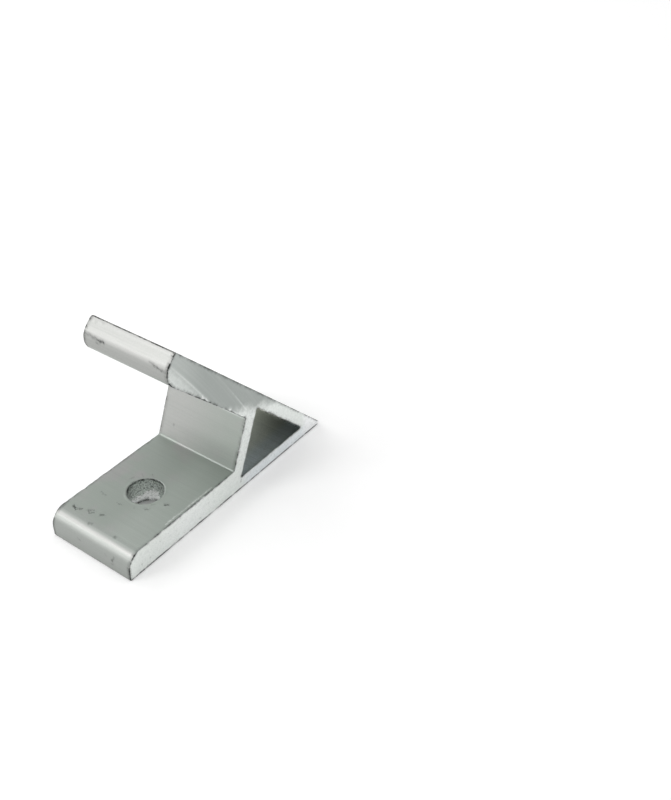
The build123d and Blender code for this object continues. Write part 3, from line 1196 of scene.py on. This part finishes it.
# A rosy tone for the web's front, painted lighter as painted light.
WEB_ROSY_PAINTED_LIGHT = (0.468, 0.472, 0.458, 1)
# Painted sheen on the near side of the lower leg's inner face.
NEAR_PAINTED_SHEEN = (0.475, 0.515, 0.48, 1)
# Painted light: the upper leg's inner face is painted far brighter, which also brightens its reflection
# in the lower leg.
UPPER_INNER_PAINTED_LIGHT = (0.72, 0.755, 0.73, 1)  # the upper leg's inner face
# The hollow is painted far brighter than the legs, as painted light.
HOLLOW_PAINTED_OLIVE = (0.86, 0.87, 0.765, 1)  # the hollow, halfway across the width
HOLLOW_PAINTED_COOL = (0.86, 0.95, 1.0, 1)  # and towards its two mouths
HOLLOW_PAINTED_ROOF = (0.84, 0.86, 0.88, 1)
ROOF_SHADE = (0.16, 0.165, 0.155, 1)  # the roof at the near mouth

# %% Places on the skin
AWAY = (-0.924, 0.383)  # x and z of the bisector, pointing away from the sharp corner


def along_bisector(skin):
    """How far a place is along the bisector, counted from the origin and away from the corner."""
    return skin.plus(skin.times(skin.x, AWAY[0]), skin.times(skin.z, AWAY[1]))


def across_upper(metal):
    """x + z, which is the same all along the upper leg and grows towards its outer face."""
    return metal.plus(metal.x, metal.z)


def at_upper_end(skin):
    """1 near the end of the upper leg."""
    return skin.rise(skin.math("SUBTRACT", skin.z, skin.x), 30.0, 33.0)


def in_hollow(skin):
    """1 on the three faces of the hollow."""
    behind_web = skin.rise(along_bisector(skin), -11.9, -12.3)
    above_lower = skin.times(behind_web, skin.rise(skin.z, 1.2, 2.0))
    return skin.times(above_lower, skin.rise(across_upper(skin), 37.0, 36.0))


# %% Skin of the legs, with painted light
def leg_tones(skin):
    """The skin of both legs and of the web's front, with its painted light, highlights and sheen."""
    across = across_upper(skin)
    drift = skin.rise(skin.plus(skin.noise(0.16, 2), skin.times(skin.noise(0.7, 2), 0.35)), 0.62, 0.88)
    drift = skin.math("MAXIMUM", drift, skin.rise(skin.x, -9.5, -11.5, 0.0, 0.7))
    # The upper leg's end, painted paler as painted light.
    tone = skin.mix(at_upper_end(skin), skin.mix(drift, SKIN_GREEN, SKIN_ROSY), UPPER_END_PAINTED_LIGHT)
    # The web's front, painted lighter, more so towards the far side.
    web_front = skin.times(skin.hump(along_bisector(skin), -9.8, 0.6), skin.rise(skin.z, 5.0, 5.6))
    tone = skin.mix(skin.times(web_front, skin.rise(skin.y, -8.0, 6.0, 0.25, 1.0)), tone, WEB_ROSY_PAINTED_LIGHT)
    # Painted sheen, stronger towards the near side.
    near_sheen_mask = skin.times(skin.rise(skin.y, 1.0, -5.0, 0.0, 0.9), skin.rise(skin.z, 4.7, 4.9))
    tone = skin.mix(skin.times(near_sheen_mask, skin.rise(skin.z, 5.2, 5.1)), tone, NEAR_PAINTED_SHEEN)
    # The upper leg's inner face, painted far brighter as painted light.
    inner_face_painted_light = skin.times(skin.rise(across, 31.26, 31.18), skin.rise(across, 30.5, 30.9))
    tone = skin.mix(skin.times(inner_face_painted_light, skin.rise(skin.z, 13.0, 14.5)), tone, UPPER_INNER_PAINTED_LIGHT)
    # A painted highlight on the round of the upper leg's end.
    upper_painted_highlight = skin.times(skin.rise(across, 35.4, 34.4), skin.rise(across, 33.5, 34.0))
    tone = skin.mix(skin.times(at_upper_end(skin), upper_painted_highlight), tone, ROUND_PAINTED_HIGHLIGHT)
    # A painted highlight band along the round of the lower leg's end.
    return skin.mix(skin.hump(skin.x, -11.93, 0.5), tone, ROUND_PAINTED_HIGHLIGHT)


def hollow_painted_light_and_shade(skin):
    """The hollow's skin, painted far brighter as painted light, olive halfway across and cool towards its
    mouths. Its roof is another tone, with painted shade at the near mouth.
    """
    tone = skin.mix(skin.rise(skin.math("ABSOLUTE", skin.y), 4.5, 7.0), HOLLOW_PAINTED_OLIVE, HOLLOW_PAINTED_COOL)
    above_floor = skin.rise(skin.z, 2.7, 3.0)
    tone = skin.mix(above_floor, tone, HOLLOW_PAINTED_ROOF)
    roof = skin.times(skin.rise(across_upper(skin), 34.40, 34.55), above_floor)
    return skin.mix(skin.times(roof, skin.rise(skin.y, -6.5, -8.0)), tone, ROOF_SHADE)


# %% Dull places and painted shade, and the skin as a whole
def dullness_and_painted_shade(skin, lines, grain):
    """How much darker the skin is: a little everywhere from its lines and grain, and painted shade in
    four places.
    """
    broad_lines = skin.noise(0.7, 2, stretch=(1, 0.02, 1))
    web_foot_shade = skin.times(skin.rise(skin.z, 10.5, 5.2), skin.rise(skin.y, 7.0, -7.0))
    lower_round_shade = skin.times(skin.hump(skin.x, -10.95, 0.75), 0.5)
    dull_and_shade = skin.rise(lines, 0.3, 0.75, 0.0, 0.09)
    for more in (
        skin.rise(grain, 0.3, 0.7, 0.0, 0.20),
        skin.rise(broad_lines, 0.35, 0.7, 0.0, 0.07),
        # The next four are painted shade: the foot of the web, the lower part of the upper leg's end, the
        # very end of the lower leg, and a strip beside the lower round's highlight.
        skin.times(web_foot_shade, skin.rise(along_bisector(skin), -9.3, -9.7, 0.0, 0.55)),
        skin.times(at_upper_end(skin), skin.rise(across_upper(skin), 33.9, 33.3, 0.0, 0.17)),
        skin.rise(skin.x, -12.55, -12.95, 0.0, 0.22),
        skin.times(skin.rise(skin.z, 2.0, 2.5), lower_round_shade),
    ):
        dull_and_shade = skin.plus(dull_and_shade, more)
    return dull_and_shade


def satin_skin():
    """Satin grey, with die lines along the extrusion."""
    skin = Finish("satin_skin")
    lines = skin.noise(4.0, 4, stretch=(1, 0.012, 1), rough=0.7)
    grain = skin.noise(7.0, 3, rough=0.7)
    tones_with_painted_light = skin.mix(in_hollow(skin), leg_tones(skin), hollow_painted_light_and_shade(skin))
    colour = skin.mix(dullness_and_painted_shade(skin, lines, grain), tones_with_painted_light, SKIN_DULL_AND_SHADE)
    roughness = skin.plus(skin.rise(lines, 0.25, 0.75, 0.42, 0.48), skin.times(grain, 0.06))
    height = skin.plus(skin.times(lines, 0.6), skin.times(grain, 0.7))
    return skin.finish(colour, roughness, height, depth_mm=0.006)


put_on(satin_skin())

# %% [markdown]
# ## The sawn faces
# The saw leaves arcs round the place where its blade turned, so the distance to that place is what
# most of this finish is made of: one noise of the distance alone gives bands that run right across
# the face, and two single arcs are deeper than the rest. Towards the end of the upper leg the face is
# painted darker, as painted shade for the darker surroundings that it mirrors there, and it is a
# little smoother. In that patch the arcs are painted bright, as painted highlights on the real marks.
# Each side was a cut of its own, with its own blade place.
#
# The metal that was cut cleanly is pale and finely pitted. It is cooler and flecked in the strip
# under the hollow, where the saw chattered, brighter at the sharp corner and along the lower leg, and
# mottled where the web meets the leg.

# %% Tones of a sawn face
SAWN_PALE = (0.83, 0.86, 0.835, 1)
SAWN_COOL = (0.85, 0.885, 0.905, 1)
# Painted shade on the sawn face, towards the end of the upper leg.
SAWN_PAINTED_SHADE = (0.360, 0.386, 0.370, 1)
SAWN_PIT = (0.42, 0.45, 0.43, 1)
SAWN_FLECK = (0.96, 0.97, 0.975, 1)
ARCS = [(197.7, 0.32, 0.45), (201.8, 0.24, 0.50)]  # distance from the blade, half width, strength
BANDS = {"Scale": 1.1, "Detail": 5.0, "Roughness": 0.6}  # the scale is in bands per millimetre


# %% Where the blade went
def blade_reach(sawn, far_side):
    """The distance to where the blade of this side's cut turned."""
    near_blade, far_blade = ((float(BLADES[side][0]), 0.0, float(BLADES[side][1])) for side in (-1, 1))
    flat = sawn.vector("MULTIPLY", sawn.place, (1, 0, 1))
    return sawn.vector("DISTANCE", flat, sawn.blend(far_side, near_blade, far_blade), "Value")


def painted_shade_patch(sawn, far_side, fine_cloud):
    """1 in the patch of painted shade, with a ragged border. Each side's patch lies elsewhere."""
    near_border = sawn.math("MULTIPLY_ADD", sawn.x, 0.38, sawn.z)
    far_border = sawn.math("MULTIPLY_ADD", sawn.x, -0.9, -1.5)
    ragged_by = sawn.math("MULTIPLY_ADD", sawn.noise(0.5, 3), 3.4, sawn.times(fine_cloud, 0.9))
    ragged_by = sawn.plus(ragged_by, -2.15)
    near_shade_patch = sawn.rise(sawn.plus(near_border, ragged_by), 21.1, 24.2)
    far_shade_patch = sawn.rise(sawn.plus(far_border, ragged_by), 0.0, 3.0)
    return sawn.choice(far_side, near_shade_patch, far_shade_patch)


def blade_marks_and_highlights(sawn, reach, bands, fine_cloud):
    """How bright the blade's marks are painted in the patch of painted shade: painted highlights on the
    real arcs.
    """
    inside_arc = sawn.rise(sawn.plus(reach, sawn.times(fine_cloud, 0.8)), 198.5, 197.1, 0.0, 0.36)
    towards_web = sawn.rise(across_upper(sawn), 36.5, 33.0)  # 0 at the outer face of the leg
    marks = sawn.times(inside_arc, sawn.math("MULTIPLY_ADD", towards_web, 0.7, 0.5))
    marks = sawn.plus(marks, sawn.rise(bands, 0.35, 0.7, -0.03, 0.06))
    along_leg = sawn.math("SUBTRACT", sawn.z, sawn.x)
    marks = sawn.plus(marks, sawn.rise(along_leg, 18.0, 34.0, 0.0, 0.20))
    for at, half_width, strength in ARCS:
        arc = sawn.times(sawn.hump(reach, at, half_width), sawn.rise(fine_cloud, 0.3, 0.6, 0.5, 1.0))
        fading = sawn.math("MULTIPLY_ADD", towards_web, 0.85 * strength, 0.15 * strength)
        marks = sawn.plus(marks, sawn.times(arc, fading))
    return sawn.math("MINIMUM", sawn.math("MAXIMUM", marks, 0.0), 1.0)


# %% Pale metal, pits and flecks
def under_hollow(sawn):
    """1 in the strip between the hollow and the lower face."""
    return sawn.times(sawn.rise(sawn.z, 2.6, 2.0), sawn.rise(sawn.x, 14.0, 17.0))


def pale_metal(sawn):
    """The metal that the saw cut cleanly."""
    pale = sawn.mix(under_hollow(sawn), SAWN_PALE, SAWN_COOL)
    along_leg = sawn.times(sawn.hump(sawn.x, 1.0, 9.0), 0.32)
    return sawn.mix(sawn.plus(sawn.rise(sawn.x, 32.0, 34.0), along_leg), pale, SAWN_FLECK)


def deep_pits(sawn):
    """The larger pits, which are stronger towards the sharp corner."""
    pits = sawn.rise(sawn.noise(2.6, 3, rough=0.6, shift=5.0), 0.63, 0.73, 0.0, 0.6)
    return sawn.times(pits, sawn.rise(sawn.x, 14.0, 28.0, 0.7, 1.2))


def flecked(sawn, colour):
    """The colour with dark and bright flecks under the hollow, and dark ones on the web's end."""
    flecks = sawn.noise(1.9, 4, rough=0.7, shift=29.0)
    strip = under_hollow(sawn)
    colour = sawn.mix(sawn.times(strip, sawn.rise(flecks, 0.50, 0.64, 0.0, 0.30)), colour, SAWN_PIT)
    colour = sawn.mix(sawn.times(strip, sawn.rise(flecks, 0.46, 0.34, 0.0, 0.5)), colour, SAWN_FLECK)
    web_end = sawn.times(sawn.rise(sawn.x, 13.5, 15.0), sawn.rise(sawn.x, 19.5, 18.0))
    web_end = sawn.times(web_end, sawn.rise(sawn.z, 3.5, 5.0))
    return sawn.mix(sawn.times(web_end, sawn.rise(flecks, 0.48, 0.62, 0.0, 0.26)), colour, SAWN_PIT)


# %% Sawn face
def sawn_face():
    """Pale sawn aluminium with the blade's arcs in it."""
    sawn = Finish("sawn_face")
    far_side = sawn.rise(sawn.y, -1.0, 1.0)
    reach = blade_reach(sawn, far_side)
    bands = sawn.add("ShaderNodeTexNoise", {"noise_dimensions": "1D"}, W=reach, **BANDS).outputs["Fac"]
    fine_cloud = sawn.noise(1.6, 3, shift=17.0)
    grain = sawn.noise(5.0, 4, rough=0.75)
    shade_patch = painted_shade_patch(sawn, far_side, fine_cloud)
    patch_colour = sawn.mix(blade_marks_and_highlights(sawn, reach, bands, fine_cloud), SAWN_PAINTED_SHADE, SAWN_PALE)
    colour = sawn.mix(shade_patch, pale_metal(sawn), patch_colour)
    colour = sawn.mix(sawn.rise(grain, 0.42, 0.72, 0.0, 0.28), colour, SAWN_PIT)
    colour = sawn.mix(sawn.rise(fine_cloud, 0.40, 0.75, 0.0, 0.16), colour, SAWN_PIT)
    pits = deep_pits(sawn)
    colour = flecked(sawn, sawn.mix(pits, colour, SAWN_PIT))
    height = sawn.plus(sawn.times(bands, 0.8), sawn.plus(grain, sawn.times(pits, -1.0)))
    roughness = sawn.plus(sawn.rise(grain, 0.3, 0.7, 0.40, 0.52), sawn.times(shade_patch, -0.04))
    return sawn.finish(colour, roughness, height, depth_mm=0.012)


put_on(sawn_face())

# %% [markdown]
# ## The drilled walls
# A drill through soft aluminium tears it where the chips jam, deep in the hole, so that part of the
# wall is grey and ragged. Where the drill came in, at the outer face, the wall is painted bright:
# partly metal that the drill polished and partly a painted reflection of the table under the hole.
# The depth under the outer face tells the two apart, with noise to make the border ragged. The bright
# band gets deeper round the hole and is missing on the near side.

# %% Drilled wall
WALL_TORN = (0.70, 0.75, 0.71, 1)
WALL_PIT = (0.10, 0.11, 0.10, 1)
# Bright metal at the outer face: partly polished, partly painted reflection.
WALL_PAINTED_BRIGHT = (0.955, 0.96, 0.955, 1)
WALL_GRAIN = (0.48, 0.50, 0.485, 1)
BRIGHT_BAND_DEPTHS = (1.6, 2.6)  # how deep the bright band is at its shallow and its deep end
FEED = 0.34  # how far the drill went down in one turn


def drilled_depth(wall):
    """The depth under the outer face, whichever leg the hole is in."""
    from_corner = wall.vector("SUBTRACT", wall.place, (float(sharp_corner[0]), 0, float(sharp_corner[1])))
    inward = (float(upper_inward[0]), 0, float(upper_inward[1]))
    return wall.math("MINIMUM", wall.z, wall.vector("DOT_PRODUCT", from_corner, inward, "Value"))


def polished_and_reflection_band(wall, depth):
    """1 in the bright band under the outer face."""
    ragged_by = wall.times(wall.plus(wall.noise(1.1, 3), -0.5), 2.6)
    band = wall.times(wall.rise(wall.y, 2.9, 1.3, *BRIGHT_BAND_DEPTHS), wall.rise(wall.y, -0.1, 0.45))
    return wall.rise(wall.math("SUBTRACT", wall.plus(depth, ragged_by), band), 0.2, -0.2)


def drilled_wall():
    """Torn grey metal below, and bright metal at the outer face, partly polished by the drill and partly
    painted reflection.
    """
    wall = Finish("drilled_wall")
    depth = drilled_depth(wall)
    bright = polished_and_reflection_band(wall, depth)
    uneven = wall.times(wall.noise(1.2), 14.0)
    rings = wall.math("SINE", wall.math("MULTIPLY_ADD", depth, 2 * math.pi / FEED, uneven))
    grain = wall.noise(3.4, 4, rough=0.75)
    torn = wall.mix(wall.rise(grain, 0.55, 0.36, 0.0, 0.85), WALL_TORN, WALL_PIT)
    shiny = wall.mix(wall.rise(grain, 0.49, 0.40, 0.0, 0.85), WALL_PAINTED_BRIGHT, WALL_GRAIN)
    colour = wall.mix(bright, torn, shiny)
    roughness = wall.plus(wall.rise(grain, 0.3, 0.7, 0.52, 0.36), wall.times(bright, -0.02))
    height = wall.plus(grain, wall.times(rings, 0.25))
    return wall.finish(colour, roughness, height, depth_mm=0.035)


put_on(drilled_wall())

# %% [markdown]
# ## The broken edges
# An edge shows bare metal where it was rubbed lately and dark oxide everywhere else, and some edges
# also carry painted shade in the stain. The stain on the mesh does most of the work, so the finish
# itself is plain bright metal with a rough grain.

# %% Broken edge
EDGE_BRIGHT = (0.70, 0.72, 0.71, 1)
EDGE_DULL = (0.35, 0.37, 0.36, 1)


def broken_edge():
    """The thin line between two finishes."""
    edge = Finish("broken_edge")
    colour = edge.mix(edge.rise(edge.noise(1.8, 3, rough=0.7), 0.40, 0.60), EDGE_DULL, EDGE_BRIGHT)
    grain = edge.noise(7.0, 3)
    roughness = edge.rise(grain, 0.3, 0.7, 0.48, 0.38)
    return edge.finish(colour, roughness, grain, depth_mm=0.02)


put_on(broken_edge())

# %% [markdown]
# ## The stage
# The bracket lies on its lower leg on a plain white table. The table's top is a hair lower than the
# bracket's lower face, because two surfaces in one plane would fight over which is in front. Its
# paint is a matt near-white, and a little glow, which only the camera and reflections see, takes it
# the last step to clean white. The glow lights nothing, and the bracket's soft shadow stays.
#
# The glow would also show at the bottom of a bolt hole, where hardly any light gets down. So an
# ambient occlusion node measures how much sky is open above each place. Where that is little, the
# glow goes out and the paint is greyer. This holds for what the camera sees of the table, and not for
# the light that the table throws back on to the bracket.

# %% The table's paint
PAINT = 0.93
SHADED_PAINT = 0.62
GLOW = 0.17
SKY_REACH = 0.008  # metres; how far the occlusion node looks for something overhead
SKY_SHARES = (0.30, 0.44)  # the open sky at the bottom of a hole is less, and elsewhere more


def white_paint():
    """Matt white with a faint glow for the camera and for reflections."""
    paint = Recipe("white_paint")
    plain = {"Roughness": 0.9, "Specular IOR Level": 0.2, "Emission Color": (1, 1, 1, 1)}
    for name, value in plain.items():
        paint.shader.inputs[name].default_value = value
    rays = paint.add("ShaderNodeLightPath").outputs
    seen = paint.math("MAXIMUM", rays["Is Camera Ray"], rays["Is Glossy Ray"])
    seen = paint.math("MAXIMUM", seen, rays["Is Transmission Ray"])
    sky = paint.add("ShaderNodeAmbientOcclusion", Distance=SKY_REACH).outputs["AO"]
    open_sky = paint.math("MAXIMUM", sky, paint.math("SUBTRACT", 1.0, rays["Is Camera Ray"]))
    tone = paint.rise(open_sky, *SKY_SHARES, SHADED_PAINT, PAINT, "LINEAR")
    glow = paint.rise(open_sky, *SKY_SHARES, 0.0, GLOW, "LINEAR")
    paint.put(paint.shader.inputs["Base Color"], tone)
    paint.put(paint.shader.inputs["Emission Strength"], paint.times(seen, glow))
    return paint.material


# %% The table
TABLE_REACH = 4.0  # metres
TABLE_GAP = 0.00002  # metres


def table():
    """A large flat table top, a hair under the bracket's lower face."""
    mesh = bpy.data.meshes.new("table")
    corners = [(-1, -1), (1, -1), (1, 1), (-1, 1)]
    points = [(x * TABLE_REACH, y * TABLE_REACH, -TABLE_GAP) for x, y in corners]
    mesh.from_pydata(points, [], [(0, 1, 2, 3)])
    mesh.materials.append(white_paint())
    top = bpy.data.objects.new("table", mesh)
    bpy.context.scene.collection.objects.link(top)


table()
print("table", 2 * TABLE_REACH, "m wide, a gap of", TABLE_GAP / MM, "mm under the bracket")

# %% [markdown]
# ## Light
# Metal shows what stands round it, so each lamp is chosen for its mirror image. The key is a soft box
# high behind the leg ends. The rounded ends mirror it as a pale band, and it whitens the end of the
# upper leg. A low one at the same side carries that band further down the rounds. A larger, weaker
# one behind the bracket is what the flat inner faces mirror, and the room is an even pale grey.

# %% Lamps and room
AIM = Vector((0.0, 0.0, 0.015))  # metres; the middle of the bracket, more or less
ROOM = 0.78


def soft_box(name, direction, distance, size, radiance):
    """A square lamp that faces the bracket. Radiance is how bright it looks in a mirror."""
    lamp = bpy.data.lights.new(name, "AREA")
    lamp.shape, lamp.size = "SQUARE", size
    lamp.energy = radiance * math.pi * size * size
    holder = bpy.data.objects.new(name, lamp)
    holder.location = AIM + Vector(direction).normalized() * distance
    holder.rotation_euler = (AIM - holder.location).to_track_quat("-Z", "Y").to_euler()
    bpy.context.scene.collection.objects.link(holder)


soft_box("key_box", (-0.6545, 0.4755, 0.5878), distance=0.6, size=0.226, radiance=4.9)
soft_box("back_box", (0.0, 0.848, 0.530), distance=0.8, size=0.50, radiance=1.35)
soft_box("low_left_box", (-0.68, 0.68, 0.22), distance=0.8, size=0.27, radiance=1.25)

world = bpy.data.worlds.new("room")
world.use_nodes = True
background = world.node_tree.nodes["Background"]
background.inputs["Color"].default_value = (1, 1, 1, 1)
background.inputs["Strength"].default_value = ROOM
bpy.context.scene.world = world
print("lamps", [lamp.name for lamp in bpy.data.lights], "room", ROOM)

# %% [markdown]
# ## Camera
# The camera looks down at the bracket from the open side of the gap, close enough for some
# perspective, and a hair out of level.

# %% Camera
FOCAL_LENGTH = 44.76  # millimetres
NEAREST = 0.01  # metres; the camera is so close that the usual clip would cut into the view
CAMERA_PLACE = Vector((-0.084258, -0.098992, 0.120543))
CAMERA_RIGHT = Vector((0.58294, -0.81245, 0.01018))
CAMERA_UP = Vector((0.48618, 0.35882, 0.79679))

lens = bpy.data.cameras.new("camera")
lens.lens = FOCAL_LENGTH
lens.clip_start = NEAREST
camera = bpy.data.objects.new("camera", lens)
camera_back = CAMERA_RIGHT.cross(CAMERA_UP)
camera.matrix_world = Matrix((CAMERA_RIGHT, CAMERA_UP, camera_back)).transposed().to_4x4()
camera.location = CAMERA_PLACE
bpy.context.scene.collection.objects.link(camera)
bpy.context.scene.camera = camera
bpy.context.scene.view_settings.view_transform = "Standard"
print("camera is", round((CAMERA_PLACE - AIM).length / MM), "mm away")
